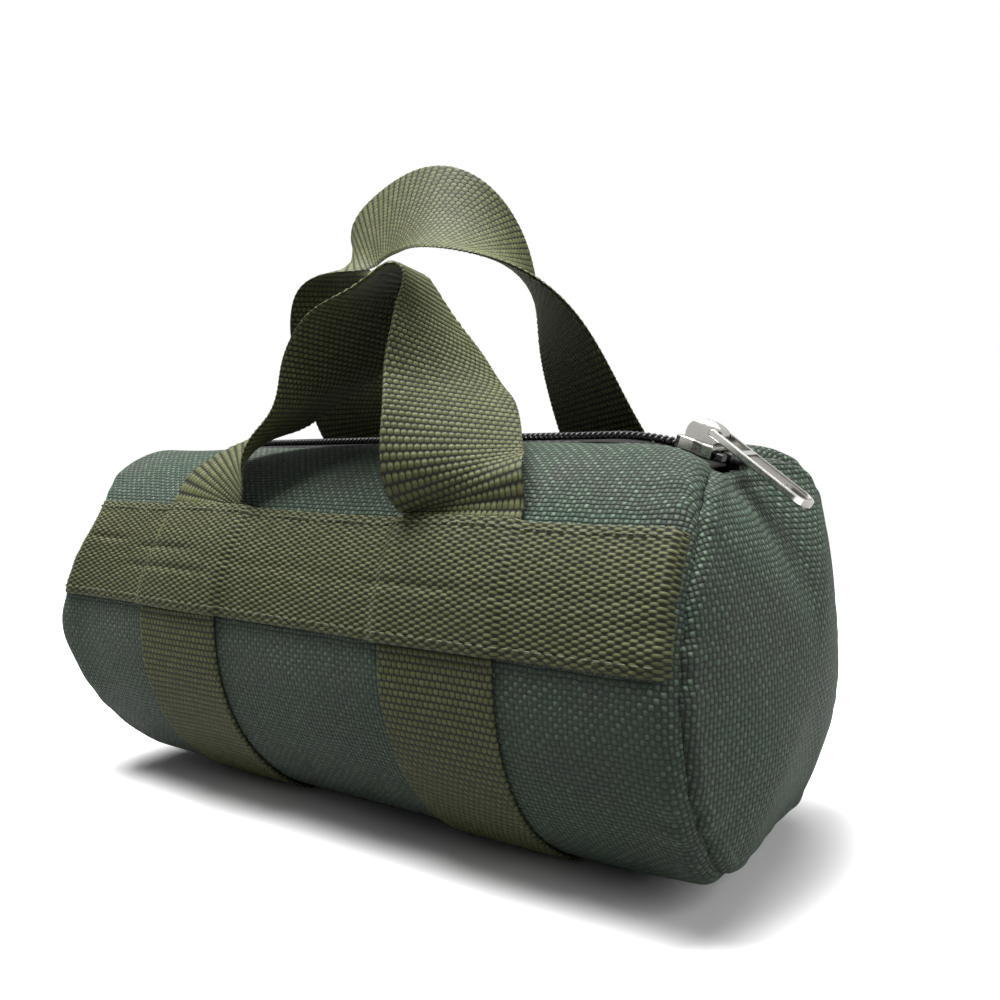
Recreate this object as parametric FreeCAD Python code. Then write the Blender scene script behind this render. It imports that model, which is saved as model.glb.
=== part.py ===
import FreeCAD, Part
import math
import os

V = FreeCAD.Vector
X_AXIS = V(1, 0, 0)
Y_AXIS = V(0, 1, 0)
Z_AXIS = V(0, 0, 1)

# Bag body, millimetres. X runs along the bag, -Y is the front, the floor is z = 0.
bag_length = 240.0          # over the bulged end panels
bag_radius = 55.5           # outer face of the canvas
canvas = 1.2                # canvas thickness
base_press = 2.9            # belly flattened in from the round
base_blend = 25.0           # radius between belly and round side
end_bulge = 8.0             # rise of an end panel over its seam
end_centre_z = 50.0         # height of the fullest point of an end panel
shoulder = 44.0             # radius of the slumped upper end
shoulder_inset = 0.5
seam_setback = 20.0         # end seam at the top, in from the bag's end
binding = 1.2               # seam binding thickness
binding_lap = 2.0           # binding reaches past the top of the seam
layer_gap = 0.05            # between sewn layers

# Webbing
webbing = 1.4
webbing_width = 35.0
strap_spacing = 98.0        # centre to centre of the two straps
band_setback = 9.0          # each end of a band, in from the bag's end
band_low = 3.5              # degrees above the axis level
band_step = 4.0             # run in which the band climbs over a strap
fold_above_band = 4.0       # handle fold line over the band's upper edge
fold_lift = 0.3             # handle's foot clear of the canvas
fold_gap = 0.3              # between the handle's foot and the strap's end

# Zipper
slot_half = 7.0             # half the mouth between the canvas edges
slot_margin = 1.4           # canvas left between the mouth and the end seam
track_ramp = 22.0           # length of the sloping track along the bag
track_slope = 18.0          # degrees, track at both ends
coil_margin = 1.0           # between the stops and the end of the mouth
tape = 0.6
tape_drop = 2.5             # tape top under the top of the canvas
tape_inner = 1.1
tape_outer = 11.0
coil_height = 2.0
coil_pitch = 2.4
tooth = 1.0
tooth_slant = 0.5
tooth_reach = 0.6           # past the centre line into the other row
spine_inner = 1.5
spine_outer = 2.6
row_spread = 1.3            # each row moves out round the slider's wedge
stop_length = 1.8

# Slider and pull
slider_setback = 10.0       # middle of the closed slider, in from the track's end
slider_length = 11.0
slider_rear = 3.8           # half widths
slider_front = 5.4
slider_wall = 0.9
slider_wedge = 0.55         # half width of the post that parts the rows
slider_plate = 1.1
slider_clear = 0.3
crown_half = 2.2
crown_height = 5.3
crown_rear = -3.8
crown_nose = 5.7
pull_axis_x = 3.6
pull_axis_rise = 2.8        # over the slider's top plate
pull_bar = 0.85
bar_clear = 0.08
pull_length = 29.0
pull_half = 3.9
pull_thick = 1.8
pull_arm = 1.3
pull_rim = 0.9
pull_recess = 0.45
pull_window = 8.5
pull_angle = 37.0           # below level when it lies on the end panel
pull_hole_length = 6.0
pull_hole_half = 1.6

# Worked out
base_flat = bag_radius - base_press
axis_z = webbing + base_flat
top_z = axis_z + bag_radius
end_radius = (bag_radius ** 2 + end_bulge ** 2) / (2 * end_bulge)
shoulder_x = bag_length / 2 - shoulder_inset - shoulder
seam_top_x = bag_length / 2 - seam_setback
binding_start = seam_top_x - binding_lap
band_half = bag_length / 2 - band_setback
shoulder_z = top_z - shoulder
strap_face = bag_radius + layer_gap
band_face = strap_face + webbing + layer_gap
band_high = band_low + math.degrees(webbing_width / band_face)
fold_angle = band_high + math.degrees(fold_above_band / band_face)
fold_radius = strap_face + webbing / 2 + fold_lift
strap_top = fold_angle - math.degrees((webbing / 2 + fold_gap) / fold_radius)
slot_end = seam_top_x - slot_margin
track_end = seam_top_x
coil_end = slot_end - coil_margin
track_flat = track_end - track_ramp
slider_x = track_end - slider_setback
track_z = top_z - tape_drop
slope = math.radians(track_slope)

# Each handle is an arch from leg to leg. Its outer edge turns towards the other
# side of the bag at the crown, which lets flat webbing make the turn.
rear_arch = {
    "rise": 85.2,            # crown over the fold line
    "crown_y": 9.0,
    "leg": 95.0,             # how far a leg keeps its first direction
    "stand": 0.05,           # radians, leg raised off the canvas at the fold
    "tilt": 0.86,            # radians, fall of the outer edge at the crown
    "tilt_change": 0.2,
    "spread": 0.0,           # legs bow outward
    "shift": -16.6,          # crown along the bag
    "twist_skew": 0.0,
    "twist_lead": -0.1,
    "sway": 5.0,             # one leg forward, one back
    "dip": 7.0,              # one leg up, one down
}
front_arch = {
    "rise": 57.7,
    "crown_y": -13.0,
    "leg": 32.0,
    "stand": 0.6,
    "tilt": -0.1,
    "tilt_change": 0.5,
    "spread": -0.38,
    "shift": -6.0,
    "twist_skew": 0.8,
    "twist_lead": 0.0,
    "sway": 4.0,
    "dip": 12.0,
}
arch_sections = 30
arch_hold = 0.08             # share of the arch that stays flat at each foot


def save(name, shape):
    shape.exportStep("parts/" + name + ".step")


def face_of(points):
    return Part.Face(Part.makePolygon(points + [points[0]]))


def plan_prism(points, z0, z1):
    ring = [V(x, y, z0) for x, y in points]
    return face_of(ring).extrude(V(0, 0, z1 - z0))


def side_prism(points, y0, y1):
    ring = [V(x, y0, z) for x, z in points]
    return face_of(ring).extrude(V(0, y1 - y0, 0))


def section_prism(offset, x0, x1):
    """Bag cross-section moved outward by offset, between two stations."""
    radius = bag_radius + offset
    blend = base_blend + offset
    floor = axis_z - base_flat - offset
    blend_z = floor + blend
    gap = bag_radius - base_blend
    flat = math.sqrt(gap ** 2 - (axis_z - blend_z) ** 2)
    out = V(0, flat, blend_z - axis_z)
    out.normalize()
    low = V(0, 0, -1)
    mid = out + low
    mid.normalize()

    def flip(p):
        return V(p.x, -p.y, p.z)

    centre = V(x0, flat, blend_z)
    p1 = V(x0, flat, floor)
    p2 = centre + mid * blend
    p3 = centre + out * blend
    top = V(x0, 0, axis_z + radius)
    edges = [
        Part.LineSegment(flip(p1), p1).toShape(),
        Part.Arc(p1, p2, p3).toShape(),
        Part.Arc(p3, top, flip(p3)).toShape(),
        Part.Arc(flip(p3), flip(p2), flip(p1)).toShape(),
    ]
    return Part.Face(Part.Wire(edges)).extrude(V(x1 - x0, 0, 0))


def envelope(offset):
    """The closed bag: round body, bulged ends, slumped upper corners."""
    reach = bag_length
    solid = section_prism(offset, -reach, reach)
    for side in (1, -1):
        centre = V(side * (bag_length / 2 - end_radius), 0, end_centre_z)
        solid = solid.common(Part.makeSphere(end_radius + offset, centre))
        x0 = shoulder_x if side > 0 else -shoulder_x - reach
        corner = Part.makeBox(reach, 2 * reach, reach, V(x0, -reach, shoulder_z))
        hub = V(side * shoulder_x, -reach, shoulder_z)
        corner = corner.cut(Part.makeCylinder(shoulder + offset, 2 * reach, hub, Y_AXIS))
        solid = solid.cut(corner)
    return solid


def make_panels():
    shell = envelope(0).cut(envelope(-canvas))
    right_core = section_prism(-canvas, seam_top_x, bag_length)
    left_core = section_prism(-canvas, -bag_length, -seam_top_x)
    body = shell.cut(right_core).cut(left_core)
    slot = Part.makeBox(2 * slot_end, 2 * slot_half, bag_radius, V(-slot_end, -slot_half, axis_z))
    save("body_panel", body.cut(slot))
    save("right_end_panel", shell.common(right_core))
    save("left_end_panel", shell.common(left_core))


def make_bindings():
    lining = -canvas - layer_gap
    inside = envelope(lining)
    for side, name in ((1, "right"), (-1, "left")):
        x0 = binding_start if side > 0 else -bag_length
        x1 = bag_length if side > 0 else -binding_start
        ring = section_prism(lining, x0, x1).cut(section_prism(lining - binding, x0, x1))
        save(name + "_seam_binding", ring.common(inside))


def make_belly_straps():
    reach = 3 * bag_radius
    edge = math.radians(strap_top)
    y = reach * math.cos(edge)
    z = axis_z + reach * math.sin(edge)
    open_top = [(0, axis_z), (-y, z), (-y, z + reach), (y, z + reach), (y, z)]
    for side, name in ((1, "right"), (-1, "left")):
        x0 = side * strap_spacing / 2 - webbing_width / 2
        x1 = x0 + webbing_width
        ring = section_prism(layer_gap + webbing, x0, x1).cut(section_prism(layer_gap, x0, x1))
        away = face_of([V(x0, a, b) for a, b in open_top]).extrude(V(webbing_width, 0, 0))
        save(name + "_belly_strap", ring.cut(away))


def band_outline():
    """Radius against x: on the canvas, and one layer higher over each strap."""
    line = []
    for side in (-1, 1):
        centre = side * strap_spacing / 2
        half = webbing_width / 2 + layer_gap
        line.append((centre - half - band_step, strap_face))
        line.append((centre - half, band_face))
        line.append((centre + half, band_face))
        line.append((centre + half + band_step, strap_face))
    return [(-band_half, strap_face)] + line + [(band_half, strap_face)]


def make_bands():
    inner = band_outline()
    outer = [(x, r + webbing) for x, r in reversed(inner)]
    for side, name in ((-1, "front"), (1, "rear")):
        ring = [V(x, side * r, axis_z) for x, r in inner + outer]
        face = face_of(ring)
        hub = V(0, 0, axis_z)
        face.rotate(hub, X_AXIS, side * band_low)
        band = face.revolve(hub, X_AXIS, side * (band_high - band_low))
        save(name + "_side_band", band)


def arch_frames(arch, side):
    """Centre, width direction and outward direction along one handle."""
    edge = math.radians(fold_angle)
    root_y = side * fold_radius * math.cos(edge)
    root_z = axis_z + fold_radius * math.sin(edge)
    leg_y = -side * arch["leg"] * math.sin(edge - arch["stand"])
    leg_z = arch["leg"] * math.cos(edge - arch["stand"])

    def centre(u):
        s = math.sin(math.pi * u)
        c = math.cos(math.pi * u)
        both = math.sin(2 * math.pi * u) * s
        x = strap_spacing / 2 * c * (1 + arch["spread"] * s * s) + arch["shift"] * s * s
        y = root_y + leg_y * s + (arch["crown_y"] - root_y - leg_y) * s * s + arch["sway"] * both
        z = root_z + leg_z * s + (arch["rise"] - leg_z) * s * s + arch["dip"] * both
        return V(x, y, z)

    def turn_at(u):
        s = math.sin(math.pi * u)
        turn = math.pi * u + arch["twist_lead"] * s * s
        turn += arch["twist_skew"] * math.sin(2 * math.pi * u)
        free = 1 - math.exp(-(min(u, 1 - u) / arch_hold) ** 2)
        return turn * free if u < 0.5 else math.pi - (math.pi - turn) * free

    frames = []
    for i in range(arch_sections + 1):
        u = i / arch_sections
        along = centre(min(u + 0.01, 1)) - centre(max(u - 0.01, 0))
        if i in (0, arch_sections):
            along = V(0, leg_y, leg_z) * (1 if i == 0 else -1)
        along.normalize()
        turn = turn_at(u)
        fall = arch["tilt"] + arch["tilt_change"] * math.cos(math.pi * u)
        wide = V(math.cos(turn), -side * math.sin(turn) * math.cos(fall), -math.sin(turn) * math.sin(fall))
        wide = wide - along * wide.dot(along)
        wide.normalize()
        out = along.cross(wide) * side
        frames.append((centre(u), wide, out))
    return frames


def ribbon_ring(point, wide, half):
    """Cross-section of a strap, from its centre, width direction and half thickness."""
    w = wide * (webbing_width / 2)
    return [point + w + half, point - w + half, point - w - half, point + w - half]


def rounded_foot(point, wide, out):
    """Sections of a handle's half round end, about its fold line, tip first."""
    radius = webbing / 2
    down = wide.cross(out)
    down = down * (-1 if down.z > 0 else 1)
    return [
        ribbon_ring(point + down * (radius * math.sin(a)), wide, out * (radius * math.cos(a)))
        for a in (math.radians(80), math.radians(50), math.radians(25))
    ]


def ribbon_solid(rings):
    """Solid strap through its cross-sections, ruled from each to the next."""
    faces = [face_of(rings[0]), face_of(rings[-1])]
    for ring, following in zip(rings, rings[1:]):
        for k in range(4):
            near = Part.LineSegment(ring[k - 1], ring[k]).toShape()
            far = Part.LineSegment(following[k - 1], following[k]).toShape()
            faces.append(Part.makeRuledSurface(near, far, 1))
    shell = Part.makeShell(faces)
    shell.sewShape()
    solid = Part.makeSolid(shell)
    if solid.Volume < 0:
        solid.reverse()
    return solid


def make_handles():
    for arch, side, name in ((front_arch, -1, "front"), (rear_arch, 1, "rear")):
        frames = arch_frames(arch, side)
        rings = [ribbon_ring(point, wide, out * (webbing / 2)) for point, wide, out in frames]
        start = rounded_foot(*frames[0])
        end = rounded_foot(*frames[-1])
        save(name + "_handle", ribbon_solid(start + rings + end[::-1]))


def on_slope(shape, side):
    """Moves a shape made on a level track at the origin onto an end slope."""
    placed = shape.copy()
    if side < 0:
        placed.rotate(V(0, 0, 0), Z_AXIS, 180)
    placed.rotate(V(0, 0, 0), Y_AXIS, side * track_slope)
    placed.translate(V(side * track_flat, 0, track_z))
    return placed


def slope_run(x):
    """Distance down the slope at a station along the bag."""
    return (x - track_flat) / math.cos(slope)


def make_tapes():
    drop = (track_end - track_flat) * math.tan(slope)
    lift = tape / math.cos(slope)
    top = [(-track_end, track_z - drop), (-track_flat, track_z)]
    top += [(track_flat, track_z), (track_end, track_z - drop)]
    under = [(x, z - (lift if abs(x) > track_flat else tape)) for x, z in reversed(top)]
    for side, name in ((-1, "front"), (1, "rear")):
        y0, y1 = sorted((side * tape_inner, side * tape_outer))
        save(name + "_zipper_tape", side_prism(top + under, y0, y1))


def comb(x0, x1, side, shift):
    """One zipper row between two stations; the rows mesh when shift is 0."""
    root = spine_inner + shift
    back = spine_outer + shift
    tip = -tooth_reach + shift
    lead = 0 if side < 0 else coil_pitch / 2
    lean = side * tooth_slant / (spine_inner + tooth_reach)
    near = lean * spine_inner
    far = -lean * tooth_reach
    points = [(x1, side * back), (x0, side * back), (x0, side * root)]
    first = math.ceil((x0 - lead + tooth) / coil_pitch)
    count = math.floor((x1 - lead - tooth) / coil_pitch) - first + 1
    for k in range(first, first + count):
        x = lead + k * coil_pitch
        points.append((x - tooth / 2 + near, side * root))
        points.append((x - tooth / 2 + far, side * tip))
        points.append((x + tooth / 2 + far, side * tip))
        points.append((x + tooth / 2 + near, side * root))
    points.append((x1, side * root))
    return plan_prism(points, 0, coil_height)


def spread_link(x0, x1, side):
    """Stretch of a row that the slider's wedge pushes outward."""
    points = [(x0, side * spine_inner), (x0, side * spine_outer)]
    points += [(x1, side * (spine_outer + row_spread)), (x1, side * (spine_inner + row_spread))]
    return plan_prism(points, 0, coil_height)


def make_coils():
    start = coil_pitch / 6
    middle = slope_run(slider_x)
    tail_start = middle + slider_length / 4
    tail_end = slope_run(coil_end) - stop_length
    for side, name in ((-1, "front"), (1, "rear")):
        level = comb(-track_flat, track_flat, side, 0)
        level.translate(V(0, 0, track_z))
        right = comb(start, middle, side, 0)
        tail = comb(tail_start, tail_end, side, row_spread)
        right = on_slope(right.fuse([spread_link(middle, tail_start, side), tail]).removeSplitter(), 1)
        left = on_slope(comb(start, tail_end, -side, 0), -1)
        save(name + "_zipper_coil", Part.makeCompound([level, right, left]))


def make_stops():
    start = slope_run(coil_end) - stop_length + layer_gap
    stops = []
    for side in (-1, 1):
        block = Part.makeBox(stop_length, 2.4, coil_height, V(start, -1.2, 0))
        block = block.makeFillet(0.4, [e for e in block.Edges if abs(e.tangentAt(0).z) < 0.1])
        block.translate(V(0, side * (row_spread + 1.2), 0))
        stops.append(on_slope(block, 1))
    save("zipper_top_stops", Part.makeCompound(stops))
    bottom = Part.makeBox(stop_length, 2 * spine_outer, coil_height, V(start, -spine_outer, 0))
    bottom = bottom.makeFillet(0.4, [e for e in bottom.Edges if abs(e.tangentAt(0).z) < 0.1])
    save("zipper_bottom_stop", on_slope(bottom, -1))


plate_low = coil_height + slider_clear
plate_top = plate_low + slider_plate
slider_run = slope_run(slider_x)


def on_track(shape):
    shape.translate(V(slider_run, 0, 0))
    return on_slope(shape, 1)


def slider_outline(inset, stretch):
    half = slider_length / 2 + stretch
    rear = slider_rear - inset
    front = slider_front - inset
    nose = slider_length * 0.12
    side = [(-half, rear - nose * 0.5), (-half + nose, rear), (-0.5, rear), (half - 2 * nose, front)]
    side.append((half, front - nose * 0.3))
    return side + [(x, -y) for x, y in reversed(side)]


def make_slider_body():
    outline = slider_outline(0, 0)
    upper = plan_prism(outline, plate_low, plate_top)
    rim = [e for e in upper.Edges if abs(e.CenterOfMass.z - plate_top) < 0.01]
    upper = upper.makeFillet(slider_plate * 0.45, rim)
    under = -tape - slider_clear
    lower = plan_prism(outline, under - slider_plate, under)
    rim = [e for e in lower.Edges if abs(e.CenterOfMass.z - under + slider_plate) < 0.01]
    lower = lower.makeFillet(slider_plate * 0.45, rim)
    walls = plan_prism(outline, slider_clear, plate_low + 0.2)
    walls = walls.cut(plan_prism(slider_outline(slider_wall, 1.0), 0, plate_low))
    walls = walls.common(plan_prism(outline, 0, plate_low + 0.1))
    half = slider_length / 2
    nose = half - slider_clear
    wedge = [(1.5, 0), (3.2, slider_wedge), (nose, slider_wedge), (nose, -slider_wedge), (3.2, -slider_wedge)]
    core = plan_prism(wedge, under - 0.1, plate_low + 0.1)
    body = upper.fuse([walls, core, lower]).removeSplitter()
    pin_hole = Part.makeBox(1.4, 1.4, 3 * slider_plate, V(-2.2, -0.7, plate_low - slider_plate))
    save("slider_body", on_track(body.cut(pin_hole)))


def crown_dome(base, high):
    """Arched cross-section of the crown, drawn out along the slider."""
    x0 = crown_rear - 1
    brow = high - crown_half * 0.8
    corners = [V(x0, -crown_half, brow), V(x0, -crown_half, base)]
    corners += [V(x0, crown_half, base), V(x0, crown_half, brow)]
    edges = [Part.LineSegment(a, b).toShape() for a, b in zip(corners, corners[1:])]
    edges.append(Part.Arc(corners[-1], V(x0, 0, high), corners[0]).toShape())
    return Part.Face(Part.Wire(edges)).extrude(V(crown_nose - x0 + 1, 0, 0))


def make_crown():
    base = plate_top
    high = base + crown_height
    start = V(crown_rear, 0, base)
    heel = V(crown_rear + 0.4, 0, base + crown_height * 0.62)
    back = V(crown_rear + 2.6, 0, high - 0.25)
    peak = V(1.0, 0, high)
    brow = V(crown_nose - 1.2, 0, high - 1.1)
    nose = V(crown_nose, 0, base + crown_height * 0.5)
    chin = V(crown_nose - 0.7, 0, base + 0.8)
    foot = V(crown_nose - 1.6, 0, base)
    edges = [
        Part.Arc(start, heel, back).toShape(),
        Part.Arc(back, peak, brow).toShape(),
        Part.Arc(brow, nose, chin).toShape(),
        Part.LineSegment(chin, foot).toShape(),
        Part.LineSegment(foot, start).toShape(),
    ]
    crown = Part.Face(Part.Wire(edges)).extrude(V(0, 2 * crown_half, 0))
    crown.translate(V(0, -crown_half, 0))
    crown = crown.common(crown_dome(base, high))
    bar = V(pull_axis_x, -crown_half - 1, base + pull_axis_rise)
    crown = crown.cut(Part.makeCylinder(pull_bar + bar_clear, 2 * crown_half + 2, bar, Y_AXIS))
    pocket = Part.makeBox(4.6, 2.4, 2.4, V(crown_rear + 1.0, -1.2, base))
    save("slider_crown", on_track(crown.cut(pocket)))


def make_lock_spring():
    base = plate_top
    x0 = crown_rear + 1.2
    leaf = [(x0, base), (x0, base + 1.9), (x0 + 4.0, base + 2.1), (x0 + 4.0, base + 1.6)]
    leaf += [(x0 + 1.6, base + 1.5), (x0 + 1.6, coil_height + 0.15), (x0 + 1.1, coil_height + 0.15)]
    leaf += [(x0 + 1.1, base + 1.5), (x0 + 0.4, base + 1.5), (x0 + 0.4, base)]
    save("slider_lock_spring", on_track(side_prism(leaf, -0.5, 0.5)))


def make_pull():
    straight = pull_length - pull_half
    plate = Part.makeBox(straight, 2 * pull_half, pull_thick, V(0, -pull_half, -pull_thick / 2))
    low = V(0, 0, -pull_thick / 2)
    plate = plate.fuse(Part.makeCylinder(pull_half, pull_thick, low + V(straight, 0, 0)))
    arm = pull_half - pull_arm
    plate = plate.cut(Part.makeBox(pull_window, 2 * arm, 4, V(0, -arm, -2)))
    for end in (-1, 1):
        y0 = end * (arm + pull_arm / 2) - pull_arm / 2
        plate = plate.fuse(Part.makeCylinder(pull_thick / 2, pull_arm, V(0, y0, 0), Y_AXIS))
    plate = plate.removeSplitter()
    outer = [e for e in plate.Edges if abs(abs(e.CenterOfMass.z) - pull_thick / 2) < 0.01]
    outer = [e for e in outer if abs(e.CenterOfMass.y) > arm + 0.5 or e.CenterOfMass.x > straight]
    plate = plate.makeFillet(0.35, outer)
    field_x = pull_window + 1.6
    half = pull_half - pull_rim
    for face in (1, -1):
        z0 = pull_thick / 2 - pull_recess if face > 0 else -pull_thick / 2 - 1
        depth = pull_recess + 1 if face < 0 else 2
        field = Part.makeBox(straight - field_x, 2 * half, depth, V(field_x, -half, z0))
        field = field.fuse(Part.makeCylinder(half, depth, V(straight, 0, z0)))
        plate = plate.cut(field)
    run = pull_hole_length - 2 * pull_hole_half
    x0 = straight + 0.6 - run
    hole = Part.makeBox(run, 2 * pull_hole_half, 4, V(x0, -pull_hole_half, -2))
    for x in (x0, x0 + run):
        hole = hole.fuse(Part.makeCylinder(pull_hole_half, 4, V(x, 0, -2)))
    plate = plate.cut(hole)
    bar = Part.makeCylinder(pull_bar, 2 * pull_half - 0.4, V(0, -pull_half + 0.2, 0), Y_AXIS)
    plate = plate.fuse(bar).removeSplitter()
    plate.rotate(V(0, 0, 0), Y_AXIS, pull_angle - track_slope)
    plate.translate(V(pull_axis_x, 0, plate_top + pull_axis_rise))
    save("zipper_pull", on_track(plate))


os.makedirs("parts", exist_ok=True)
make_panels()
make_bindings()
make_belly_straps()
make_bands()
make_handles()
make_tapes()
make_coils()
make_stops()
make_slider_body()
make_crown()
make_lock_spring()
make_pull()
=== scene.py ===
import math
import bmesh
import bpy
import numpy as np
from mathutils import Matrix, Vector


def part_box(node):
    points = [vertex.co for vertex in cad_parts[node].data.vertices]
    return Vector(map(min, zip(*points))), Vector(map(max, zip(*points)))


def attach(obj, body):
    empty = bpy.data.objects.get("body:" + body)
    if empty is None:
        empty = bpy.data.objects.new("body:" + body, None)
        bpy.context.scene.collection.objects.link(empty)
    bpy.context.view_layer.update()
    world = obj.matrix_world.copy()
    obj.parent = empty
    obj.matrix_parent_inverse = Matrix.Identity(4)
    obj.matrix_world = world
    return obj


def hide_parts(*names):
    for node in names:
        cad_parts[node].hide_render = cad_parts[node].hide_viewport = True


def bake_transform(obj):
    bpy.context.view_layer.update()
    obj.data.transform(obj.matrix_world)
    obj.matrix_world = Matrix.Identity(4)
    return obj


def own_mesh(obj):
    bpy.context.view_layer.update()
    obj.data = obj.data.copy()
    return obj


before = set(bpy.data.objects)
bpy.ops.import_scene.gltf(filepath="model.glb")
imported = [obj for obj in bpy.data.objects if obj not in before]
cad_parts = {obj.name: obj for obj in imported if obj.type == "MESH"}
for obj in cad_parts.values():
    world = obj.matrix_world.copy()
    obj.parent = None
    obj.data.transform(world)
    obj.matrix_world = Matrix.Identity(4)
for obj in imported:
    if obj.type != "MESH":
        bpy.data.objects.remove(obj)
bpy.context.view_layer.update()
mm = 0.001  # shapes are worked out in millimetres
fullTurn = 2 * math.pi
rightSide, leftSide, frontSide, rearSide = 1, -1, -1, 1
bagEnds = ((rightSide, "right"), (leftSide, "left"))
bagFaces = ((frontSide, "front"), (rearSide, "rear"))
mergeGap = 0.002  # points of a closed piece that meet
print("stage: frame loaded,", len(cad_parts), "CAD nodes")


def boxOf(node):
    low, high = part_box(node)
    return np.array(low) / mm, np.array(high) / mm


def softMin(a, b, reach):  # the lower of the two, rounded where they cross
    share = np.clip(0.5 + 0.5 * (b - a) / reach, 0, 1)
    return b * (1 - share) + a * share - reach * share * (1 - share)


def ease(value, low, high):  # smooth step from 0 to 1
    share = np.clip((value - low) / (high - low), 0, 1)
    return share * share * (3 - 2 * share)


def unit(vectors):
    return vectors / np.linalg.norm(vectors, axis=-1, keepdims=True)


def clothPlace(first, second):  # where a point lies on the flat cloth, for the weave
    return np.stack([first, second, np.zeros_like(first)], axis=-1)


def runLength(path):
    return np.concatenate([[0], np.cumsum(np.linalg.norm(np.diff(path, axis=0), axis=1))])


def shadeSmooth(mesh):
    mesh.polygons.foreach_set("use_smooth", [True] * len(mesh.polygons))


def finishMesh(name, bm, material):
    mesh = bpy.data.meshes.new(name)
    bm.to_mesh(mesh)
    bm.free()
    shadeSmooth(mesh)
    mesh.materials.append(material)
    piece = bpy.data.objects.new(name, mesh)
    bpy.context.scene.collection.objects.link(piece)
    return piece


def shapedGrid(name, cellsA, cellsB, shape, material, closed=False):
    bm = bmesh.new()
    bmesh.ops.create_grid(bm, x_segments=cellsA, y_segments=cellsB, size=0.5)
    piece = finishMesh(name, bm, material)
    mesh = piece.data
    flat = np.empty(len(mesh.vertices) * 3)
    mesh.vertices.foreach_get("co", flat)
    flat = flat.reshape(-1, 3) + 0.5
    points, cloth = shape(flat[:, 0], flat[:, 1])
    mesh.vertices.foreach_set("co", (points * mm).ravel())
    mesh.attributes.new("cloth", "FLOAT_VECTOR", "POINT").data.foreach_set("vector", cloth.ravel())
    if closed:  # a tube or strap: join its edges and close its ends
        bm = bmesh.new()
        bm.from_mesh(mesh)
        bmesh.ops.remove_doubles(bm, verts=bm.verts, dist=mergeGap * mm)
        bmesh.ops.holes_fill(bm, edges=bm.edges, sides=0)
        bmesh.ops.recalc_face_normals(bm, faces=bm.faces)
        bm.to_mesh(mesh)
        bm.free()
        shadeSmooth(mesh)
    mesh.update()
    return piece


def thicken(piece, thickness):
    wall = piece.modifiers.new("thickness", "SOLIDIFY")
    wall.thickness = thickness * mm
    wall.offset = -1


def wire(tree, target, value):  # a link where there is one to make, or else a plain value
    if isinstance(value, bpy.types.NodeSocket):
        tree.links.new(value, target)
    else:
        target.default_value = value


def calc(tree, operation, *values):
    node = tree.nodes.new("ShaderNodeMath")
    node.operation = operation
    for socket, value in zip(node.inputs, values):
        wire(tree, socket, value)
    return node.outputs[0]


def spanned(tree, value, low, high, outLow=0.0, outHigh=1.0):
    node = tree.nodes.new("ShaderNodeMapRange")
    node.interpolation_type = "SMOOTHSTEP"
    for socket, entry in zip(node.inputs, (value, low, high, outLow, outHigh)):
        wire(tree, socket, entry)
    return node.outputs[0]


def mixed(tree, share, first, second):
    node = tree.nodes.new("ShaderNodeMix")
    node.data_type = "RGBA"
    for index, value in ((0, share), (6, first), (7, second)):  # the colour sockets of a Mix node
        wire(tree, node.inputs[index], value)
    return node.outputs[2]


def noise(tree, vector, scale, detail=2.0):
    node = tree.nodes.new("ShaderNodeTexNoise")
    wire(tree, node.inputs["Vector"], vector)
    node.inputs["Scale"].default_value = scale
    node.inputs["Detail"].default_value = detail
    return node.outputs["Fac"]


def vectorCalc(tree, operation, vector, factors, output):
    node = tree.nodes.new("ShaderNodeVectorMath")
    node.operation = operation
    wire(tree, node.inputs[0], vector)
    node.inputs[1].default_value = factors
    return node.outputs[output]


def objectPlace(tree):
    return tree.nodes.new("ShaderNodeTexCoord").outputs["Object"]


def cellRandom(tree, *coordinates):  # one random value for each yarn
    joined = tree.nodes.new("ShaderNodeCombineXYZ")
    for socket, value in zip(joined.inputs, coordinates):
        wire(tree, socket, value)
    node = tree.nodes.new("ShaderNodeTexWhiteNoise")
    tree.links.new(joined.outputs[0], node.inputs["Vector"])
    return node.outputs["Value"]


def cellOf(tree, turns):  # the cell that a place lies in, and how far it is from the middle
    return calc(tree, "FLOOR", turns), calc(tree, "SUBTRACT", calc(tree, "FRACT", turns), 0.5)


def squared(tree, value):
    return calc(tree, "MULTIPLY", value, value)


def bowed(tree, place, depth):  # 1 along the middle of a yarn, lower towards its sides
    return calc(tree, "MULTIPLY_ADD", squared(tree, place), -4 * depth, 1.0)


def halfShift(tree, cell, face):  # every other row moves by half, and so does the other face
    odd = calc(tree, "FLOORED_MODULO", cell, 2.0)
    return calc(tree, "MULTIPLY", calc(tree, "ADD", odd, face), 0.5)


def newGroup(name, inputs, outputs):
    group = bpy.data.node_groups.new(name, "ShaderNodeTree")
    for label, kind in inputs:
        group.interface.new_socket(label, in_out="INPUT", socket_type="NodeSocket" + kind)
    for label in outputs:
        group.interface.new_socket(label, in_out="OUTPUT", socket_type="NodeSocketFloat")
    given = group.nodes.new("NodeGroupInput").outputs
    parts = group.nodes.new("ShaderNodeSeparateXYZ")
    group.links.new(given[0], parts.inputs[0])
    return group, given, parts.outputs, group.nodes.new("NodeGroupOutput").inputs


webbing = {
    "width": 35.0, "thickness": 1.4, "endPitch": 35 / 42, "floatPeriod": 3.5,
    "arch": 0.9, "crown": 0.99, "lensCrown": 0.8, "relief": 0.45, "rowStep": 3.5 / 6,
    "selvedge": 1.2, "cordPitch": 1.6, "cordRelief": 0.3, "cordSlant": 0.6,  # the corded edge
    "edgeReach": 0.5, "edgeRound": 0.4, "plainCells": 8,
    "fibreStretch": (0.9, 7.0, 3.0), "fibreDetail": 3.0,
}


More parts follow.
